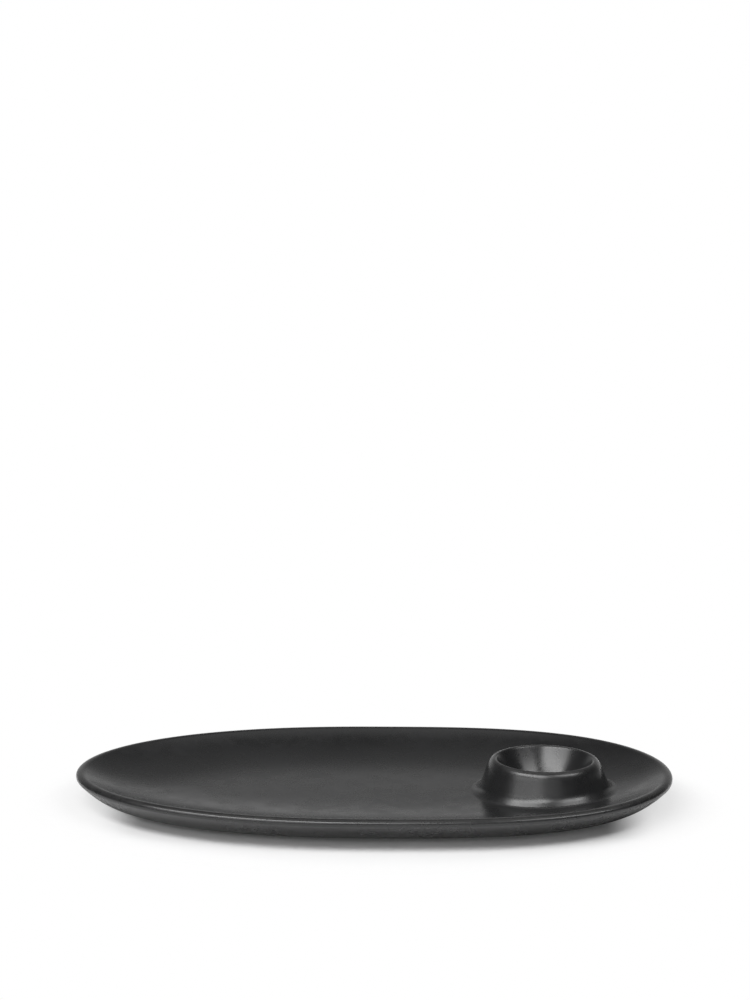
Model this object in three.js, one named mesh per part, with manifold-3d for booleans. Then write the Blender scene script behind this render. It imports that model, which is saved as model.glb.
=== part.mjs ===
// Oval breakfast plate in glazed ceramic, with a low egg cup joined into its well.
// Millimetres, +Z up. The origin is on the table under the middle of the plate.
// +X runs to the end with the cup, and -Y is the front.
import * as THREE from 'three';
import { mergeVertices } from 'three/addons/utils/BufferGeometryUtils.js';
import Module from 'manifold-3d';

// Plate outline: each end is an oval of its own fullness, where 2 is an ellipse and more is squarer
const plateLength = 280;
const plateWidth = 160;
const plainEndFullness = 2.25;
const cupEndFullness = 3;

// Plate section: slopes are in degrees from level, where the curve leaves the lip
const lipTopRounding = 4.5;
const lipOuterRounding = 1.6;
const lipTopSlope = 25; // where the broad top of the lip turns into its tight outer edge
const endRise = 0.5; // the lip stands this much higher at both ends than at mid-length
const wellDepth = 8.8; // from the lip at mid-length down to the middle of the well
const wellSlope = 23.5;
const wellMiddleWidth = 20; // level strip in the middle of the well
const floorThickness = 4.1;
const flareWidth = 18.8; // from the outline in to the flat underside
const flareSlope = 46;

// Foot ring under the plate
const footHeight = 1.6;
const footSetback = 8; // from the edge of the flat underside in to the ring
const footWidth = 7;
const footRounding = 0.8;

// Egg cup: drafts are in degrees from upright
const cupFromEnd = 60; // cup axis to the end of the plate
const cupToFront = 5; // cup axis to the plate's long axis
const mouthDiameter = 44; // a hen's egg is 42 to 45 mm across
const cupDepth = 16.6; // lip down to the floor of the hollow
const cupLipOuterRounding = 3.2;
const cupLipInnerRounding = 1.2;
const cupDraft = 19.5;
const hollowDraft = 32; // just under the lip
const hollowFloorDiameter = 18;
const hollowFloorSlope = 20; // degrees from level, where the bowl of the hollow meets its floor
const cupFillet = 5.2; // between the cup's wall and the well
const socketDepth = 0.9; // seat of the cup below the middle of the well
const jointClearance = 0.3;

// Facets
const outlineSegments = 80;
const cupSegments = 56;
const wellRings = 9;
const edgeSteps = 5;
const footSteps = 2;
const cupSteps = 6;
const halvings = 40; // steps of the search for a height in plan

// Levels and radii that follow
const halfLength = plateLength / 2;
const halfWidth = plateWidth / 2;
const middleHalfWidth = wellMiddleWidth / 2;
const undersideZ = footHeight;
const wellZ = undersideZ + floorThickness;
const rimZ = wellZ + wellDepth;
const seatZ = wellZ - socketDepth;
const cupX = halfLength - cupFromEnd;
const cupY = -cupToFront;

const radians = THREE.MathUtils.degToRad;

// Point on a circle at an angle in degrees
function onCircle(centre, radius, angle) {
  const x = centre.x + radius * Math.cos(radians(angle));
  const y = centre.y + radius * Math.sin(radians(angle));
  return new THREE.Vector2(x, y);
}

// Where two straight lines meet, each given by a point and its direction in degrees
function crossing(p, pAngle, q, qAngle) {
  const along = onCircle({ x: 0, y: 0 }, 1, pAngle);
  const across = onCircle({ x: 0, y: 0 }, 1, qAngle + 90);
  const travel = q.clone().sub(p).dot(across) / along.dot(across);
  return p.clone().addScaledVector(along, travel);
}

// The plate's lip is broadly rounded on top and tightly at its outer edge. The well leaves the top
// at wellSlope and rises towards it by a power law.
const rimTurn = 90 - lipTopSlope;
const rimStep = onCircle({ x: 0, y: 0 }, lipTopRounding - lipOuterRounding, rimTurn);
const rimOuterX = halfWidth - lipOuterRounding;
const rimTopCentre = new THREE.Vector2(rimOuterX - rimStep.x, rimZ - lipTopRounding);
const rimOuterCentre = rimTopCentre.clone().add(rimStep);
const wellEdge = onCircle(rimTopCentre, lipTopRounding, 90 + wellSlope);
const wellReach = wellEdge.x - middleHalfWidth;
const wellRise = wellEdge.y - wellZ;
const wellPower = Math.tan(radians(wellSlope)) * wellReach / wellRise;

// Height of the well at a radius of the plate's section
function wellHeight(radius) {
  const reach = Math.max(radius - middleHalfWidth, 0) / wellReach;
  return wellZ + wellRise * reach ** wellPower;
}

// The lip rises towards the ends, and the rise dies out where the flat underside begins
function lipRise(x, inset) {
  const fade = 1 - THREE.MathUtils.smoothstep(inset, 0, flareWidth);
  return endRise * (x / halfLength) ** 2 * fade;
}

// A section point at a radius lies on the oval that is inset from the outline by the rest of the half
// width. Inside the level middle the oval shrinks to the centre.
function toOval(radius, angle, height) {
  const cosine = Math.cos(angle);
  const fullness = cosine < 0 ? plainEndFullness : cupEndFullness;
  const along = Math.sign(cosine) * Math.abs(cosine) ** (2 / fullness);
  const inset = halfWidth - Math.max(radius, middleHalfWidth);
  const shrink = Math.min(radius / middleHalfWidth, 1);
  const x = along * (halfLength - inset) * shrink;
  const y = Math.sin(angle) * (halfWidth - inset) * shrink;
  return new THREE.Vector3(x, y, height + lipRise(x, inset));
}

// Height of the well at a place in plan, by halving towards the oval that passes through it
function wellAt(x, y) {
  const fullness = x < 0 ? plainEndFullness : cupEndFullness;
  let inner = middleHalfWidth;
  let outer = halfWidth;
  for (let halving = 0; halving < halvings; halving++) {
    const radius = (inner + outer) / 2;
    const ovalHalfLength = halfLength - halfWidth + radius;
    const reach = (Math.abs(x) / ovalHalfLength) ** fullness + (y / radius) ** 2;
    if (reach > 1) inner = radius;
    else outer = radius;
  }
  return wellHeight(inner) + lipRise(x, halfWidth - inner);
}

// Turns a section into a round solid and draws it out to the oval of the plate
function ovalTurning(section) {
  const geometry = new THREE.LatheGeometry(section, outlineSegments);
  const position = geometry.getAttribute('position');
  const vertex = new THREE.Vector3();
  for (let i = 0; i < position.count; i++) {
    vertex.fromBufferAttribute(position, i);
    const radius = Math.hypot(vertex.x, vertex.z);
    const angle = Math.atan2(vertex.x, vertex.z);
    const placed = toOval(radius, angle, vertex.y);
    position.setXYZ(i, placed.x, placed.y, placed.z);
  }
  return geometry;
}

// Section of the plate, from the middle of the underside round the lip to the middle of the well
function plateSection() {
  const flareStart = onCircle(rimOuterCentre, lipOuterRounding, flareSlope - 90);
  const flareEnd = new THREE.Vector2(halfWidth - flareWidth, undersideZ);
  const bend = crossing(flareStart, flareSlope, flareEnd, 0);
  const edge = new THREE.Path();
  edge.moveTo(0, undersideZ);
  edge.lineTo(flareEnd.x, flareEnd.y);
  edge.quadraticCurveTo(bend.x, bend.y, flareStart.x, flareStart.y);
  const outerStart = radians(flareSlope - 90);
  const topStart = radians(rimTurn);
  const topEnd = radians(90 + wellSlope);
  edge.absarc(rimOuterCentre.x, rimOuterCentre.y, lipOuterRounding, outerStart, topStart, false);
  edge.absarc(rimTopCentre.x, rimTopCentre.y, lipTopRounding, topStart, topEnd, false);
  const points = edge.getPoints(edgeSteps);
  for (let ring = wellRings - 1; ring >= 0; ring--) {
    const radius = middleHalfWidth + wellReach * Math.sqrt(ring / wellRings);
    points.push(new THREE.Vector2(radius, wellHeight(radius)));
  }
  points.push(new THREE.Vector2(0, wellZ));
  return points;
}

// Section of the foot ring: flat on top against the plate, rounded below where it meets the table
function footSection() {
  const outer = halfWidth - flareWidth - footSetback;
  const inner = outer - footWidth;
  const rounding = Math.min(footRounding, footHeight / 2, footWidth / 4);
  const ring = new THREE.Path();
  ring.moveTo(inner + rounding, 0);
  ring.lineTo(outer - rounding, 0);
  ring.quadraticCurveTo(outer, 0, outer, rounding);
  ring.lineTo(outer, undersideZ);
  ring.lineTo(inner, undersideZ);
  ring.lineTo(inner, rounding);
  ring.quadraticCurveTo(inner, 0, inner + rounding, 0);
  return ring.getPoints(footSteps);
}

// The cup's lip is rounded broadly outside and tightly inside, and its wall runs straight from the lip
// to the foot fillet
const lipTop = new THREE.Vector2(mouthDiameter / 2 + cupLipInnerRounding, seatZ + cupDepth);
const lipOuterCentre = new THREE.Vector2(lipTop.x, lipTop.y - cupLipOuterRounding);
const lipInnerCentre = new THREE.Vector2(lipTop.x, lipTop.y - cupLipInnerRounding);
const wallTop = onCircle(lipOuterCentre, cupLipOuterRounding, cupDraft);
const wallFoot = crossing(wallTop, cupDraft - 90, new THREE.Vector2(0, wellZ), 0);
const highestFillet = (wallTop.y - wellZ) / (1 - Math.sin(radians(cupDraft)));
const filletRadius = Math.min(cupFillet, highestFillet);
const filletRun = filletRadius * Math.tan(radians(45 - cupDraft / 2));
const cupFootRadius = wallFoot.x + filletRun;
const socketRadius = cupFootRadius + jointClearance;

// Section of the cup, from its seat round the foot, wall and lip into the bowl of the hollow
function cupSection() {
  const lipBend = crossing(wallTop, cupDraft + 90, lipTop, 0);
  const hollowTop = onCircle(lipInnerCentre, cupLipInnerRounding, 180 - hollowDraft);
  const mouthBend = crossing(hollowTop, -90 - hollowDraft, lipTop, 0);
  const hollowFloor = new THREE.Vector2(hollowFloorDiameter / 2, seatZ);
  const bowlBend = crossing(hollowTop, -90 - hollowDraft, hollowFloor, hollowFloorSlope);
  const filletEnd = radians(180 + cupDraft);
  const cup = new THREE.Path();
  cup.moveTo(hollowFloor.x, hollowFloor.y);
  cup.lineTo(cupFootRadius, seatZ);
  cup.lineTo(cupFootRadius, wellZ);
  cup.absarc(cupFootRadius, wellZ + filletRadius, filletRadius, radians(270), filletEnd, true);
  cup.lineTo(wallTop.x, wallTop.y);
  cup.quadraticCurveTo(lipBend.x, lipBend.y, lipTop.x, lipTop.y);
  cup.quadraticCurveTo(mouthBend.x, mouthBend.y, hollowTop.x, hollowTop.y);
  cup.quadraticCurveTo(bowlBend.x, bowlBend.y, hollowFloor.x, hollowFloor.y);
  return cup.getPoints(cupSteps);
}

// The cup is turned, and then its foot is laid on the curve of the well: the outside follows the well
// at the fillet, and follows it less and less towards the lip
function cupGeometry() {
  const geometry = new THREE.LatheGeometry(cupSection(), cupSegments).rotateX(Math.PI / 2);
  const position = geometry.getAttribute('position');
  const vertex = new THREE.Vector3();
  const skirtBottom = (seatZ + wellZ) / 2;
  for (let i = 0; i < position.count; i++) {
    vertex.fromBufferAttribute(position, i);
    const onSkirt = vertex.z > skirtBottom && Math.hypot(vertex.x, vertex.y) > lipTop.x;
    if (!onSkirt) continue;
    const follow = 1 - THREE.MathUtils.smoothstep(vertex.z, wellZ, lipOuterCentre.y);
    const lift = wellAt(cupX + vertex.x, cupY + vertex.y) - wellZ;
    position.setZ(i, vertex.z + lift * follow);
  }
  return geometry;
}

const wasm = await Module();
wasm.setup();

function toSolid(geometry) {
  const bare = geometry.clone();
  bare.deleteAttribute('normal');
  bare.deleteAttribute('uv');
  const merged = mergeVertices(bare);
  const vertProperties = merged.getAttribute('position').array;
  const triVerts = Uint32Array.from(merged.index.array);
  return new wasm.Manifold(new wasm.Mesh({ numProp: 3, vertProperties, triVerts }));
}

function toGeometry(solid) {
  const { vertProperties, triVerts } = solid.getMesh();
  const geometry = new THREE.BufferGeometry();
  geometry.setAttribute('position', new THREE.BufferAttribute(vertProperties, 3));
  geometry.setIndex(new THREE.BufferAttribute(triVerts, 1));
  geometry.computeVertexNormals();
  return geometry;
}

// The plate is the drawn-out section less the round socket that takes the cup's foot
function plateGeometry() {
  const plate = toSolid(ovalTurning(plateSection()));
  const socketHeight = rimZ + endRise - seatZ;
  const socket = new THREE.CylinderGeometry(socketRadius, socketRadius, socketHeight, cupSegments);
  socket.rotateX(Math.PI / 2).translate(cupX, cupY, seatZ + socketHeight / 2);
  return toGeometry(plate.subtract(toSolid(socket)));
}

function part(name, geometry, finish) {
  const mesh = new THREE.Mesh(geometry, new THREE.MeshStandardMaterial(finish));
  mesh.name = name;
  return mesh;
}

const glaze = { color: 0x2b2c2e, roughness: 0.4, metalness: 0 };
const bareClay = { color: 0x35322f, roughness: 0.9, metalness: 0 };

const plateBody = part('plate_body', plateGeometry(), glaze);
const eggCup = part('egg_cup', cupGeometry(), glaze);
eggCup.position.set(cupX, cupY, 0);
const footRing = part('foot_ring', ovalTurning(footSection()), bareClay);

const breakfastPlate = new THREE.Group();
breakfastPlate.name = 'breakfast_plate';
breakfastPlate.add(plateBody, eggCup, footRing);

export default breakfastPlate;
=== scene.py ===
import math

import bpy
import numpy as np
from mathutils import Matrix, Vector


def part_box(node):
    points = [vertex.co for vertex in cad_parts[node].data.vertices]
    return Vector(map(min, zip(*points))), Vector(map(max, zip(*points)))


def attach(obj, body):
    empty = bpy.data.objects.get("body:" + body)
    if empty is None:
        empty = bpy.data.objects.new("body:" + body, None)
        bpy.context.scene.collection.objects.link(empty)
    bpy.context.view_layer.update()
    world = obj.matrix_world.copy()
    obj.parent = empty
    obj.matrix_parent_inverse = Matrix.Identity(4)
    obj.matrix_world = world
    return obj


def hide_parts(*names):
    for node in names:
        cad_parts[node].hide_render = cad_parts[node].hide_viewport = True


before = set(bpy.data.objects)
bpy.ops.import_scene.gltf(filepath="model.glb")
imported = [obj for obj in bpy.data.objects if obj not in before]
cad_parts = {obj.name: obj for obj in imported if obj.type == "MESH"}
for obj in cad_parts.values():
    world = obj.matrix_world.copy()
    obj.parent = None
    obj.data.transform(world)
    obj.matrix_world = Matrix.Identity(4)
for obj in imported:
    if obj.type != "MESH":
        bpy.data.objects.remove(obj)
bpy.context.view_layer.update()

MM = 0.001
BODY = "root"

# Sizes taken from the frame, in metres
plate_low, plate_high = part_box("plate_body")
cup_low, cup_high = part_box("egg_cup")
foot_low, foot_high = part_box("foot_ring")
HALF_LENGTH = (plate_high.x - plate_low.x) / 2
HALF_WIDTH = (plate_high.y - plate_low.y) / 2
UNDERSIDE_Z = plate_low.z
CUP_X = (cup_low.x + cup_high.x) / 2
CUP_Y = (cup_low.y + cup_high.y) / 2
CUP_FOOT_RADIUS = (cup_high.x - cup_low.x) / 2
CUP_TOP_Z = cup_high.z
SEAT_Z = cup_low.z
FOOT_OUTER = (foot_high.y - foot_low.y) / 2

# Shape of the plate and its foot ring, as in their solids
PLAIN_END_FULLNESS = 2.25
CUP_END_FULLNESS = 3.0
LIP_TOP_ROUNDING = 4.5 * MM
RIM_EDGE_ROUNDING = 1.6 * MM
LIP_TOP_SLOPE = math.radians(25)
END_RISE = 0.5 * MM
WELL_Z = UNDERSIDE_Z + 4.1 * MM
RIM_Z = WELL_Z + 8.8 * MM
WELL_SLOPE = math.radians(23.5)
MIDDLE_HALF_WIDTH = 10 * MM
FLARE_WIDTH = 18.8 * MM
FLARE_SLOPE = math.radians(46)
FOOT_WIDTH = 7 * MM
FOOT_ROUNDING = 0.8 * MM

# Shape of the cup, as in its solid
CUP_DRAFT = math.radians(19.5)
CUP_FILLET = 5.2 * MM
LIP_OUTER_ROUNDING = 3.2 * MM
LIP_INNER_ROUNDING = 1.2 * MM
LIP_TOP_RADIUS = 23.2 * MM
HOLLOW_DRAFT = math.radians(32)
HOLLOW_FLOOR_SLOPE = math.radians(20)
HOLLOW_FLOOR_RADIUS = 9 * MM

# Finer forms of the cup: a longer round at its lip, a flatter flare at the front of its foot, and a
# floor that eases into the bowl of its hollow
LIP_WALL_REACH = 4 * MM
FRONT_FLARE_SLOPE = math.radians(50)
FRONT_FLARE_SETBACK = 1.9 * MM
FRONT_FLARE_FOOT_EASE = 1.2 * MM
FRONT_FLARE_TOP_EASE = 2.2 * MM
FRONT_START = 0.4  # share of the way from the cup's axis to its front
FRONT_FULL = 0.85
HOLLOW_FLOOR_RISE = 0.6 * MM
HOLLOW_FLAT_RADIUS = 6 * MM
HOLLOW_FLAT_RISE = 0.05 * MM

# How the cup sits in the plate: its hem lies just under the well, and its seat in a dip of the well
SKIRT_SINK = 0.005 * MM
HEM_WIDTH = 1 * MM
HEM_DROP = 0.03 * MM
SHOULDER_DROP = 0.25 * MM
SOCKET_START = 1.5 * MM
SOCKET_END = 5 * MM

# Mesh fineness, and the steps of the search for a height in plan
OUTLINE_SEGMENTS = 480
CUP_SEGMENTS = 320
HALVINGS = 40
UNDERSIDE_RINGS = 14
FLARE_STEPS = 30
RIM_EDGE_RINGS = 26
LIP_TOP_RINGS = 18
WELL_RINGS = 74
WELL_RING_POWER = 0.8
MIDDLE_RINGS = 64
SEAT_RINGS = 8
FOOT_CURVE_STEPS = 20
WALL_RINGS = 14
CUP_LIP_STEPS = 32
CUP_LIP_THIN_FROM = 10
CUP_LIP_INNER_RINGS = 14
BOWL_STEPS = 40
BOWL_FLOOR_STEPS = 10
HOLLOW_FLAT_RINGS = 6
FOOT_BAND_RINGS = 10
FOOT_TOP_RINGS = 8
FOOT_ROUND_STEPS = 8
INNERMOST_RADIUS = 1 * MM
SEAT_INNERMOST_RADIUS = 3 * MM


def smoothstep(value, low, high):
    t = np.clip((value - low) / (high - low), 0, 1)
    return t * t * (3 - 2 * t)


def on_circle(centre, radius, angle):
    return np.array([centre[0] + radius * math.cos(angle), centre[1] + radius * math.sin(angle)])


def crossing(p, p_angle, q, q_angle):
    """Where two straight lines meet, each given by a point and its direction."""
    along = on_circle((0, 0), 1, p_angle)
    across = on_circle((0, 0), 1, q_angle + math.pi / 2)
    travel = np.dot(np.subtract(q, p), across) / np.dot(along, across)
    return np.asarray(p) + along * travel


def arc(centre, radius, start, end, steps):
    return [on_circle(centre, radius, a) for a in np.linspace(start, end, steps + 1)]


def curve(start, bend, end, steps):
    """Points of a parabola from start to end, tangent to the lines to bend."""
    start, bend, end = np.asarray(start), np.asarray(bend), np.asarray(end)
    points = []
    for t in np.linspace(0, 1, steps + 1):
        points.append((1 - t) ** 2 * start + 2 * t * (1 - t) * bend + t * t * end)
    return points


RIM_TURN = math.pi / 2 - LIP_TOP_SLOPE
RIM_STEP = on_circle((0, 0), LIP_TOP_ROUNDING - RIM_EDGE_ROUNDING, RIM_TURN)
RIM_TOP_CENTRE = np.array([HALF_WIDTH - RIM_EDGE_ROUNDING - RIM_STEP[0], RIM_Z - LIP_TOP_ROUNDING])
RIM_EDGE_CENTRE = RIM_TOP_CENTRE + RIM_STEP
WELL_EDGE = on_circle(RIM_TOP_CENTRE, LIP_TOP_ROUNDING, math.pi / 2 + WELL_SLOPE)
WELL_REACH = WELL_EDGE[0] - MIDDLE_HALF_WIDTH
WELL_RISE = WELL_EDGE[1] - WELL_Z
WELL_POWER = math.tan(WELL_SLOPE) * WELL_REACH / WELL_RISE
CUP_TURN = np.linspace(0, 2 * math.pi, CUP_SEGMENTS, endpoint=False)


def well_height(radius):
    reach = np.maximum(radius - MIDDLE_HALF_WIDTH, 0) / WELL_REACH
    return WELL_Z + WELL_RISE * reach ** WELL_POWER


def lip_rise(x, inset):
    return END_RISE * (x / HALF_LENGTH) ** 2 * (1 - smoothstep(inset, 0, FLARE_WIDTH))


def well_at(x, y):
    """Height of the well at places in plan, by halving towards the oval through each place."""
    fullness = np.where(x < 0, PLAIN_END_FULLNESS, CUP_END_FULLNESS)
    inner = np.full(np.shape(x), MIDDLE_HALF_WIDTH)
    outer = np.full(np.shape(x), HALF_WIDTH)
    for _ in range(HALVINGS):
        radius = (inner + outer) / 2
        reach = (np.abs(x) / (HALF_LENGTH - HALF_WIDTH + radius)) ** fullness + (y / radius) ** 2
        inner = np.where(reach > 1, radius, inner)
        outer = np.where(reach > 1, outer, radius)
    return well_height(inner) + lip_rise(x, HALF_WIDTH - inner)


def oval_ring(radius, height):
    """One ring of a section point, drawn out to the oval of the plate."""
    turn = np.linspace(0, 2 * math.pi, OUTLINE_SEGMENTS, endpoint=False)
    along = np.cos(turn)
    fullness = np.where(along < 0, PLAIN_END_FULLNESS, CUP_END_FULLNESS)
    across = np.sign(np.sin(turn)) * np.sqrt(np.maximum(1 - np.abs(along) ** fullness, 0))
    inset = HALF_WIDTH - max(radius, MIDDLE_HALF_WIDTH)
    shrink = min(radius / MIDDLE_HALF_WIDTH, 1)
    x = along * (HALF_LENGTH - inset) * shrink
    y = across * (HALF_WIDTH - inset) * shrink
    return np.stack([x, y, height + lip_rise(x, inset)], axis=1)


def round_ring(radius, height):
    """One ring of a section point, turned about the cup's axis. Both may change round the turn."""
    x = CUP_X + radius * np.cos(CUP_TURN)
    y = CUP_Y + radius * np.sin(CUP_TURN)
    return np.stack([x, y, np.broadcast_to(height, CUP_SEGMENTS)], axis=1)


def skin(name, rings, masks, loop=False):
    """A smooth closed mesh through rings of equal count.

    Its ends close at their middles, or join in a loop. The masks are kept as the attribute "edge".
    """
    count = len(rings[0])
    vertices = list(np.concatenate(rings))
    values = list(np.repeat(masks, count))
    faces = []
    pairs = [(r, r + 1) for r in range(len(rings) - 1)]
    if loop:
        pairs.append((len(rings) - 1, 0))
    for low, high in pairs:
        for i in range(count):
            j = (i + 1) % count
            faces.append((low * count + i, low * count + j, high * count + j, high * count + i))
    if not loop:
        for row, flip in ((0, True), (len(rings) - 1, False)):
            middle = len(vertices)
            vertices.append(np.mean(rings[row], axis=0))
            values.append(masks[row])
            for i in range(count):
                a = row * count + i
                b = row * count + (i + 1) % count
                faces.append((b, a, middle) if flip else (a, b, middle))
    mesh = bpy.data.meshes.new(name)
    mesh.from_pydata([tuple(v) for v in vertices], [], faces)
    mesh.validate()
    mesh.shade_smooth()
    mask = mesh.attributes.new("edge", "FLOAT", "POINT")
    mask.data.foreach_set("value", np.array(values, dtype=np.float32))
    piece = bpy.data.objects.new(name, mesh)
    bpy.context.scene.collection.objects.link(piece)
    return piece


def make_plate():
    """Section points are radius, height and how thin the glaze is."""
    flare_start = on_circle(RIM_EDGE_CENTRE, RIM_EDGE_ROUNDING, FLARE_SLOPE - math.pi / 2)
    flare_end = np.array([HALF_WIDTH - FLARE_WIDTH, UNDERSIDE_Z])
    bend = crossing(flare_start, FLARE_SLOPE, flare_end, 0)
    section = []
    for radius in np.linspace(INNERMOST_RADIUS, flare_end[0], UNDERSIDE_RINGS)[:-1]:
        section.append((radius, UNDERSIDE_Z, 0))
    for point in curve(flare_end, bend, flare_start, FLARE_STEPS)[:-1]:
        section.append((point[0], point[1], 0))
    for angle in np.linspace(FLARE_SLOPE - math.pi / 2, RIM_TURN, RIM_EDGE_RINGS)[:-1]:
        point = on_circle(RIM_EDGE_CENTRE, RIM_EDGE_ROUNDING, angle)
        section.append((point[0], point[1], math.sin(max(angle, 0)) ** 2))
    for angle in np.linspace(RIM_TURN, math.pi / 2 + WELL_SLOPE, LIP_TOP_RINGS):
        point = on_circle(RIM_TOP_CENTRE, LIP_TOP_ROUNDING, angle)
        fade = 1 - smoothstep(angle, math.pi / 2, math.pi / 2 + WELL_SLOPE)
        section.append((point[0], point[1], math.sin(angle) ** 2 * fade))
    for step in np.linspace(1, 0, WELL_RINGS)[1:]:
        radius = MIDDLE_HALF_WIDTH + WELL_REACH * step ** WELL_RING_POWER
        section.append((radius, float(well_height(radius)), 0))
    for radius in np.linspace(MIDDLE_HALF_WIDTH, 0, MIDDLE_RINGS)[1:-1]:
        section.append((radius, WELL_Z, 0))
    rings = [oval_ring(radius, height) for radius, height, _ in section]
    for ring, (_, height, _) in zip(rings, section):
        if height < WELL_Z:
            continue
        from_cup = np.hypot(ring[:, 0] - CUP_X, ring[:, 1] - CUP_Y)
        sunk = smoothstep(CUP_FOOT_RADIUS - from_cup, SOCKET_START, SOCKET_END)
        ring[:, 2] += (SEAT_Z - ring[:, 2]) * sunk
    return skin("plate", rings, [mask for _, _, mask in section])


def cup_foot(wall_top):
    """Section points of the cup's foot round the turn: a round fillet, and a flatter flare at the front."""
    wall_angle = math.pi / 2 + CUP_DRAFT
    flare_angle = math.pi - FRONT_FLARE_SLOPE
    fillet_steps = 2 * FOOT_CURVE_STEPS + 1
    fillet_centre = (CUP_FOOT_RADIUS, WELL_Z + CUP_FILLET)
    fillet = np.array(arc(fillet_centre, CUP_FILLET, math.pi * 1.5, math.pi + CUP_DRAFT, fillet_steps))
    low = np.array([CUP_FOOT_RADIUS - FRONT_FLARE_SETBACK, WELL_Z])
    high = crossing(low, flare_angle, wall_top, wall_angle)
    low_end = on_circle(low, FRONT_FLARE_FOOT_EASE, flare_angle)
    high_start = on_circle(high, -FRONT_FLARE_TOP_EASE, flare_angle)
    high_end = on_circle(high, FRONT_FLARE_TOP_EASE, wall_angle)
    flare = curve(low + (FRONT_FLARE_FOOT_EASE, 0), low, low_end, FOOT_CURVE_STEPS)
    flare += curve(high_start, high, high_end, FOOT_CURVE_STEPS)
    to_front = smoothstep(-np.sin(CUP_TURN), FRONT_START, FRONT_FULL)
    return fillet[:, :, None] + (np.array(flare) - fillet)[:, :, None] * to_front


def make_cup():
    """Section points are radius, height, whether they follow the well, and how thin the glaze is."""
    lip_top = (LIP_TOP_RADIUS, CUP_TOP_Z)
    outer_centre = (LIP_TOP_RADIUS, CUP_TOP_Z - LIP_OUTER_ROUNDING)
    inner_centre = (LIP_TOP_RADIUS, CUP_TOP_Z - LIP_INNER_ROUNDING)
    hollow_top = on_circle(inner_centre, LIP_INNER_ROUNDING, math.pi - HOLLOW_DRAFT)
    hollow_floor = (HOLLOW_FLOOR_RADIUS, SEAT_Z + HOLLOW_FLOOR_RISE)
    bowl_bend = crossing(hollow_top, -math.pi / 2 - HOLLOW_DRAFT, hollow_floor, HOLLOW_FLOOR_SLOPE)
    flat_rim = (HOLLOW_FLAT_RADIUS, SEAT_Z + HOLLOW_FLAT_RISE)
    floor_bend = crossing(hollow_floor, HOLLOW_FLOOR_SLOPE, flat_rim, 0)
    wall_top = on_circle(outer_centre, LIP_OUTER_ROUNDING, CUP_DRAFT)
    lip_bend = crossing(wall_top, CUP_DRAFT + math.pi / 2, lip_top, 0)
    lip_start = on_circle(lip_bend, LIP_WALL_REACH, CUP_DRAFT - math.pi / 2)
    foot = cup_foot(wall_top)

    section = []
    for radius in np.linspace(SEAT_INNERMOST_RADIUS, CUP_FOOT_RADIUS - SOCKET_END, SEAT_RINGS):
        section.append((radius, SEAT_Z, False, 0))
    section.append((CUP_FOOT_RADIUS - SOCKET_START, WELL_Z - SHOULDER_DROP, True, 0))
    section.append((foot[0, 0] + HEM_WIDTH, WELL_Z - HEM_DROP, True, 0))
    for point in foot:
        section.append((point[0], point[1] - SKIRT_SINK, True, 0))
    for step in np.linspace(0, 1, WALL_RINGS)[1:-1]:
        point = foot[-1] + (lip_start[:, None] - foot[-1]) * step
        section.append((point[0], point[1], True, 0))
    for step, point in enumerate(curve(lip_start, lip_bend, lip_top, CUP_LIP_STEPS)[:-1]):
        section.append((point[0], point[1], True, smoothstep(step, CUP_LIP_THIN_FROM, CUP_LIP_STEPS)))
    for angle in np.linspace(math.pi / 2, math.pi - HOLLOW_DRAFT, CUP_LIP_INNER_RINGS):
        point = on_circle(inner_centre, LIP_INNER_ROUNDING, angle)
        section.append((point[0], point[1], False, math.sin(angle) ** 2))
    for point in curve(hollow_top, bowl_bend, hollow_floor, BOWL_STEPS)[1:]:
        section.append((point[0], point[1], False, 0))
    for point in curve(hollow_floor, floor_bend, flat_rim, BOWL_FLOOR_STEPS)[1:]:
        section.append((point[0], point[1], False, 0))
    for radius in np.linspace(HOLLOW_FLAT_RADIUS, INNERMOST_RADIUS, HOLLOW_FLAT_RINGS)[1:]:
        section.append((radius, flat_rim[1], False, 0))

    rings = []
    for radius, height, on_well, _ in section:
        ring = round_ring(radius, height)
        if on_well:
            follow = 1 - smoothstep(height, WELL_Z, outer_centre[1])
            ring[:, 2] += (well_at(ring[:, 0], ring[:, 1]) - WELL_Z) * follow
        rings.append(ring)
    return skin("cup", rings, [mask for _, _, _, mask in section])


def make_foot():
    inner = FOOT_OUTER - FOOT_WIDTH
    band_inner = inner + FOOT_ROUNDING
    band_outer = FOOT_OUTER - FOOT_ROUNDING
    outer_round = ((band_outer, 0), (FOOT_OUTER, 0), (FOOT_OUTER, FOOT_ROUNDING))
    inner_round = ((inner, FOOT_ROUNDING), (inner, 0), (band_inner, 0))
    section = []
    for radius in np.linspace(band_inner, band_outer, FOOT_BAND_RINGS):
        section.append((radius, 0))
    for point in curve(*outer_round, FOOT_ROUND_STEPS)[1:]:
        section.append(tuple(point))
    for radius in np.linspace(FOOT_OUTER, inner, FOOT_TOP_RINGS):
        section.append((radius, UNDERSIDE_Z))
    for point in curve(*inner_round, FOOT_ROUND_STEPS)[:-1]:
        section.append(tuple(point))
    rings = [oval_ring(radius, height) for radius, height in section]
    return skin("foot", rings, [0] * len(rings), loop=True)


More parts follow.
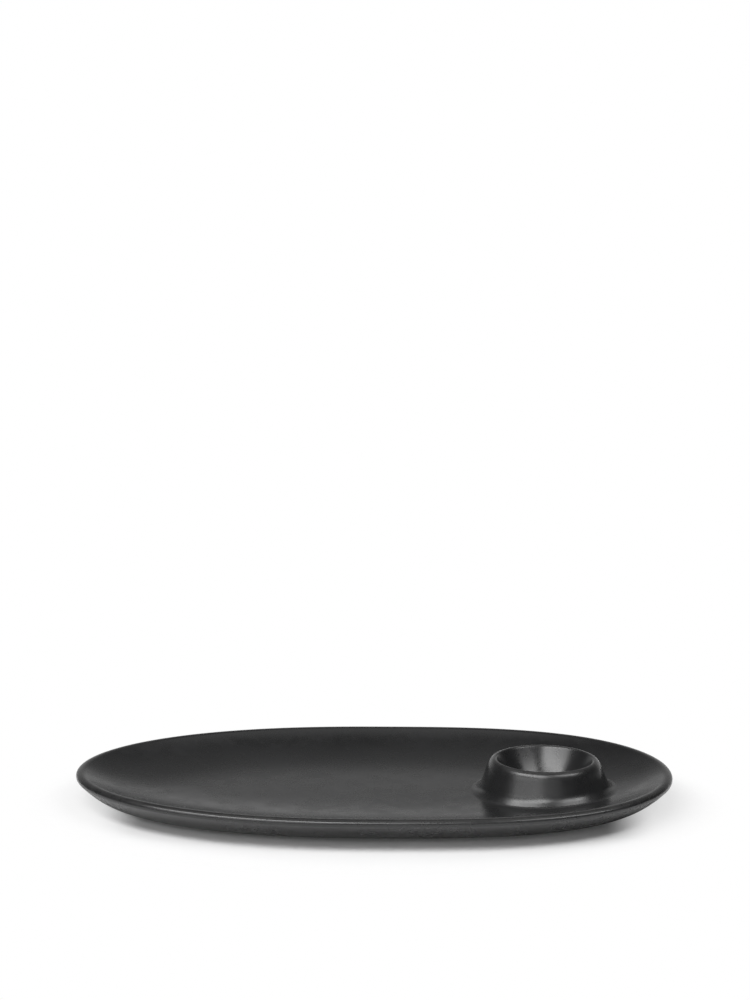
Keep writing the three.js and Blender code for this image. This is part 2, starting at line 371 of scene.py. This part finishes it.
class Graph:
    """Adds nodes to a tree, with values or links for their inputs."""

    def __init__(self, tree):
        self.tree = tree
        tree.nodes.clear()

    def add(self, kind, settings=None, **inputs):
        """An input goes by its name, with _ for a space, or by its number, as i0."""
        node = self.tree.nodes.new("ShaderNode" + kind)
        for key, value in (settings or {}).items():
            setattr(node, key, value)
        for key, value in inputs.items():
            numbered = key[0] == "i" and key[1:].isdigit()
            socket = node.inputs[int(key[1:]) if numbered else key.replace("_", " ")]
            if isinstance(value, bpy.types.NodeSocket):
                self.tree.links.new(value, socket)
            else:
                socket.default_value = value
        return node

    def math(self, operation, a, b=0.0):
        return self.add("Math", {"operation": operation}, i0=a, i1=b).outputs[0]

    def length(self, vector):
        return self.add("VectorMath", {"operation": "LENGTH"}, i0=vector).outputs["Value"]

    def remap(self, value, low, high, to_low=0.0, to_high=1.0):
        node = self.add(
            "MapRange", {"interpolation_type": "SMOOTHSTEP"},
            i0=value, i1=low, i2=high, i3=to_low, i4=to_high,
        )
        return node.outputs[0]

    def noise(self, vector, scale, detail=2.0, roughness=0.5):
        node = self.add("TexNoise", None, Vector=vector, Scale=scale, Detail=detail, Roughness=roughness)
        return node.outputs["Fac"]

    def mix(self, fac, a, b):
        node = self.add("Mix", {"data_type": "RGBA"}, i0=fac, i6=a, i7=b)
        return node.outputs[2]

    def bump(self, height, distance, normal=None):
        extra = {"Normal": normal} if normal else {}
        return self.add("Bump", None, Strength=1.0, Distance=distance, Height=height, **extra).outputs[0]


def new_material(name):
    material = bpy.data.materials.new(name)
    material.use_nodes = True
    return material, Graph(material.node_tree)


# Colours of the glaze and the clay
GLAZE_DARK = (0.0125, 0.0126, 0.013, 1)
GLAZE_LIGHT = (0.0165, 0.0167, 0.0172, 1)
GLAZE_FLECK = (0.022, 0.0222, 0.023, 1)
GLAZE_SPECK = (0.05, 0.05, 0.051, 1)
GLAZE_THIN = (0.036, 0.035, 0.034, 1)
GLAZE_IOR = 1.6
CLAY_DARK = (0.04, 0.0355, 0.032, 1)
CLAY_LIGHT = (0.052, 0.046, 0.041, 1)
CLAY_GRAIN = (0.11, 0.1, 0.09, 1)
CLAY_IOR = 1.5

# Grain of the surfaces, as noise scales to the metre, and the height of their bumps
BROAD_SCALE = 16.0
WAVE_SCALE = 42.0
STREAK_SCALE = 90.0
STREAK_SQUEEZE = (1.0, 1.0, 0.12)
MOTTLE_SCALE = 240.0
PEEL_SCALE = 620.0
SPECK_SCALE = 2100.0
CLAY_PATCH_SCALE = 70.0
CLAY_GRAIN_SCALE = 1900.0
WAVE_HEIGHT = 0.035 * MM
PEEL_HEIGHT = 0.0015 * MM
CLAY_PIT_HEIGHT = 0.06 * MM

# Spans of the noise, and the shares and roughness that they turn into
MIDDLE_SPAN = (0.35, 0.65)
WIDE_SPAN = (0.3, 0.7)
FLECK_SPAN = (0.55, 0.75)
SPECK_SPAN = (0.76, 0.82)
CLAY_GRAIN_SPAN = (0.6, 0.75)
FLECK_SHARE = (0.0, 0.4)
SPECK_SHARE = (0.0, 0.3)
THIN_SHARE = (0.1, 0.45)
CLAY_GRAIN_SHARE = (0.0, 0.6)
GLAZE_ROUGHNESS = (0.23, 0.28)
STREAK_ROUGHNESS = (-0.02, 0.03)
MOTTLE_ROUGHNESS = (-0.01, 0.02)
CLAY_ROUGHNESS = (0.8, 0.95)


def black_glaze():
    material, g = new_material("black_glaze")
    place = g.add("TexCoord").outputs["Object"]
    edge = g.add("Attribute", {"attribute_name": "edge"}).outputs["Fac"]
    stretch = g.add("Mapping", None, Vector=place, Scale=STREAK_SQUEEZE).outputs[0]

    broad = g.noise(place, BROAD_SCALE)
    mottle = g.noise(place, MOTTLE_SCALE, detail=4.0)
    streaks = g.noise(stretch, STREAK_SCALE, detail=3.0)
    grain = g.noise(place, SPECK_SCALE, detail=1.0)

    deep = g.mix(g.remap(broad, *MIDDLE_SPAN), GLAZE_DARK, GLAZE_LIGHT)
    flecked = g.mix(g.remap(mottle, *FLECK_SPAN, *FLECK_SHARE), deep, GLAZE_FLECK)
    specks = g.mix(g.remap(grain, *SPECK_SPAN, *SPECK_SHARE), flecked, GLAZE_SPECK)
    thin = g.math("MULTIPLY", edge, g.remap(mottle, *MIDDLE_SPAN, *THIN_SHARE))
    colour = g.mix(thin, specks, GLAZE_THIN)

    rough = g.remap(broad, *WIDE_SPAN, *GLAZE_ROUGHNESS)
    rough = g.math("ADD", rough, g.remap(streaks, *WIDE_SPAN, *STREAK_ROUGHNESS))
    rough = g.math("ADD", rough, g.remap(mottle, *WIDE_SPAN, *MOTTLE_ROUGHNESS))

    wave = g.bump(g.noise(place, WAVE_SCALE, detail=1.0), WAVE_HEIGHT)
    peel = g.bump(g.noise(place, PEEL_SCALE), PEEL_HEIGHT, wave)
    shader = g.add("BsdfPrincipled", None, Base_Color=colour, Roughness=rough, IOR=GLAZE_IOR, Normal=peel)
    g.add("OutputMaterial", None, Surface=shader.outputs[0])
    return material


def bare_clay():
    material, g = new_material("bare_clay")
    place = g.add("TexCoord").outputs["Object"]
    grain = g.noise(place, CLAY_GRAIN_SCALE, detail=4.0, roughness=0.65)
    patches = g.noise(place, CLAY_PATCH_SCALE, detail=3.0)
    body = g.mix(g.remap(patches, *MIDDLE_SPAN), CLAY_DARK, CLAY_LIGHT)
    colour = g.mix(g.remap(grain, *CLAY_GRAIN_SPAN, *CLAY_GRAIN_SHARE), body, CLAY_GRAIN)
    rough = g.remap(grain, *WIDE_SPAN, *CLAY_ROUGHNESS)
    pits = g.bump(grain, CLAY_PIT_HEIGHT)
    shader = g.add("BsdfPrincipled", None, Base_Color=colour, Roughness=rough, IOR=CLAY_IOR, Normal=pits)
    g.add("OutputMaterial", None, Surface=shader.outputs[0])
    return material


def finish_piece(piece, node, material):
    piece.data.materials.append(material)
    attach(piece, BODY)
    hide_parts(node)


glaze = black_glaze()
finish_piece(make_plate(), "plate_body", glaze)
finish_piece(make_cup(), "egg_cup", glaze)
finish_piece(make_foot(), "foot_ring", bare_clay())

# Camera, fitted to the outlines of the plate and the cup in the photograph
VIEW_ELEVATION = math.radians(16.932)
VIEW_DISTANCE = 0.8634
AIM_DOWN = math.radians(7.622)
VIEW_TURN = math.radians(0.423)
VIEW_ROLL = math.radians(0.122)
VIEW_SIDESTEP = 0.00026
FOCAL_HEIGHTS = 1.8019
SENSOR_LONG_SIDE = 36.0


def make_camera():
    camera = bpy.data.cameras.new("camera")
    camera.sensor_fit = "AUTO"
    camera.sensor_width = SENSOR_LONG_SIDE
    camera.lens = FOCAL_HEIGHTS * SENSOR_LONG_SIDE
    viewer = bpy.data.objects.new("camera", camera)
    bpy.context.scene.collection.objects.link(viewer)
    bpy.context.scene.camera = viewer
    back = VIEW_DISTANCE * math.cos(VIEW_ELEVATION)
    up = VIEW_DISTANCE * math.sin(VIEW_ELEVATION)
    lift = Matrix.Translation((0, 0, UNDERSIDE_Z))
    turn = Matrix.Rotation(VIEW_TURN, 4, "Z")
    eye = Matrix.Translation((VIEW_SIDESTEP, -back, up))
    tilt = Matrix.Rotation(math.pi / 2 - AIM_DOWN, 4, "X")
    roll = Matrix.Rotation(VIEW_ROLL, 4, "Z")
    viewer.matrix_world = lift @ turn @ eye @ tilt @ roll


PANEL_HEIGHT = 1.25


def softbox(name, centre, width, depth, radiance, turned=None):
    """An area light. It faces straight down, turned by degrees, or with no turn it faces the plate."""
    light = bpy.data.lights.new(name, "AREA")
    light.shape = "RECTANGLE"
    light.size = width
    light.size_y = depth
    light.energy = radiance * math.pi * width * depth
    lamp = bpy.data.objects.new(name, light)
    lamp.location = centre
    if turned is None:
        lamp.rotation_euler = (-Vector(centre)).to_track_quat("-Z", "Y").to_euler()
    else:
        lamp.rotation_euler = (0, 0, math.radians(turned))
    bpy.context.scene.collection.objects.link(lamp)


make_camera()
softbox("key_softbox", (-0.56, -0.61, PANEL_HEIGHT), width=1.55, depth=0.65, radiance=6.5, turned=-36)
softbox("side_softbox", (0.88, -0.36, PANEL_HEIGHT), width=0.95, depth=0.5, radiance=5.5, turned=34)
softbox("left_fill", (-1.03, -1.32, 0.89), width=2.0, depth=0.75, radiance=2.0)
softbox("front_fill", (0.3, -1.7, 0.77), width=1.2, depth=0.7, radiance=0.7)
softbox("top_softbox", (0.0, 0.5, PANEL_HEIGHT), width=1.8, depth=0.7, radiance=0.6, turned=0)

# The studio's brightness by height, from the horizon to straight up, and towards its backdrop
STUDIO = [
    (0.0, 0.35), (0.06, 0.45), (0.12, 0.6), (0.2, 0.6),
    (0.27, 0.36), (0.34, 0.16), (0.42, 0.13), (1.0, 0.2),
]
BACKDROP_START = 0.6
BACKDROP_FULL = 0.88
AWAY_FROM_BACKDROP = 0.1
WHITE = (1, 1, 1, 1)


def make_world():
    """White to the camera, and a dim studio with a pale backdrop for all other light."""
    world = bpy.data.worlds.new("studio")
    world.use_nodes = True
    bpy.context.scene.world = world
    g = Graph(world.node_tree)
    direction = g.add("SeparateXYZ", None, Vector=g.add("TexCoord").outputs["Generated"])
    ramp = g.add("ValToRGB", None, Fac=direction.outputs["Z"])
    elements = ramp.color_ramp.elements
    elements.remove(elements[1])
    elements[0].position = STUDIO[0][0]
    elements[0].color = (STUDIO[0][1],) * 3 + (1,)
    for position, level in STUDIO[1:]:
        elements.new(position).color = (level, level, level, 1)
    backdrop = g.remap(direction.outputs["Y"], BACKDROP_START, BACKDROP_FULL, AWAY_FROM_BACKDROP, 1.0)
    studio = g.add("Background", None, Color=ramp.outputs[0], Strength=backdrop)
    white = g.add("Background", None, Color=WHITE, Strength=1.0)
    path = g.add("LightPath")
    seen = g.math("MAXIMUM", path.outputs["Is Camera Ray"], path.outputs["Is Transmission Ray"])
    both = g.add("MixShader", None, i0=seen, i1=studio.outputs[0], i2=white.outputs[0])
    g.add("OutputWorld", None, Surface=both.outputs[0])


# The floor turns white away from the plate, and near the plate a painted glow lightens the plate's shadow.
# Lengths are in metres.
FLOOR_HALF = 6.0
FLOOR_COLOUR = (0.9, 0.9, 0.9, 1)
FAR_SPAN = (0.2, 0.4)
# Painted glow on the floor, seen by the camera only: it lightens the plate's shadow a little everywhere,
# more towards the plate's ends, fully behind its back corners, and beyond an oval round the plate it cuts
# the shadow off to white
SHADOW_OVAL = (0.2, 0.13, 1.0)
SHADOW_OVAL_SPAN = (0.66, 0.84)  # shares of the oval
END_SPAN = (0.103, 0.129)
END_SHADOW_GLOW = (0.04, 0.65)  # shares of white
BACK_CORNER_ACROSS = (0.09, 0.13)
BACK_CORNER_BEHIND = (0.0, 0.08)


def floor_white():
    """Pale near the plate, where it keeps the shadow under a painted glow that lightens it a little
    everywhere, more at the plate's ends, fully behind its back corners and beyond an oval round it; white
    farther away.
    """
    material, g = new_material("floor_white")
    path = g.add("LightPath")
    camera_ray = path.outputs["Is Camera Ray"]
    seen = g.math("MAXIMUM", camera_ray, path.outputs["Is Glossy Ray"])
    seen = g.math("MAXIMUM", seen, path.outputs["Is Transmission Ray"])
    place = g.add("TexCoord").outputs["Object"]
    spot = g.add("SeparateXYZ", None, Vector=place)
    across = g.math("ABSOLUTE", spot.outputs["X"])
    behind = spot.outputs["Y"]
    oval = g.add("VectorMath", {"operation": "DIVIDE"}, i0=place, i1=SHADOW_OVAL).outputs[0]

    # Painted glow that lightens the plate's shadow: a faint share everywhere, a strong share at the ends,
    # full behind the back corners and beyond the oval
    ends = g.remap(across, *END_SPAN, *END_SHADOW_GLOW)
    corner_across = g.remap(across, *BACK_CORNER_ACROSS)
    corner = g.math("MULTIPLY", corner_across, g.remap(behind, *BACK_CORNER_BEHIND))
    near = g.math("MAXIMUM", ends, corner)
    near = g.math("MAXIMUM", near, g.remap(g.length(oval), *SHADOW_OVAL_SPAN))
    near = g.math("MULTIPLY", near, camera_ray)
    far = g.math("MULTIPLY", g.remap(g.length(place), *FAR_SPAN), seen)

    matt = g.add("BsdfDiffuse", None, Color=FLOOR_COLOUR)
    glow = g.add("Emission", None, Color=WHITE, Strength=1.0)
    whiteness = g.math("MAXIMUM", far, near)
    both = g.add("MixShader", None, i0=whiteness, i1=matt.outputs[0], i2=glow.outputs[0])
    g.add("OutputMaterial", None, Surface=both.outputs[0])
    return material


def make_floor():
    corners = []
    for x, y in ((-1, -1), (1, -1), (1, 1), (-1, 1)):
        corners.append((x * FLOOR_HALF, y * FLOOR_HALF, 0))
    mesh = bpy.data.meshes.new("floor")
    mesh.from_pydata(corners, [], [(0, 1, 2, 3)])
    mesh.materials.append(floor_white())
    floor = bpy.data.objects.new("floor", mesh)
    bpy.context.scene.collection.objects.link(floor)


make_world()
make_floor()
bpy.context.scene.view_settings.view_transform = "Standard"
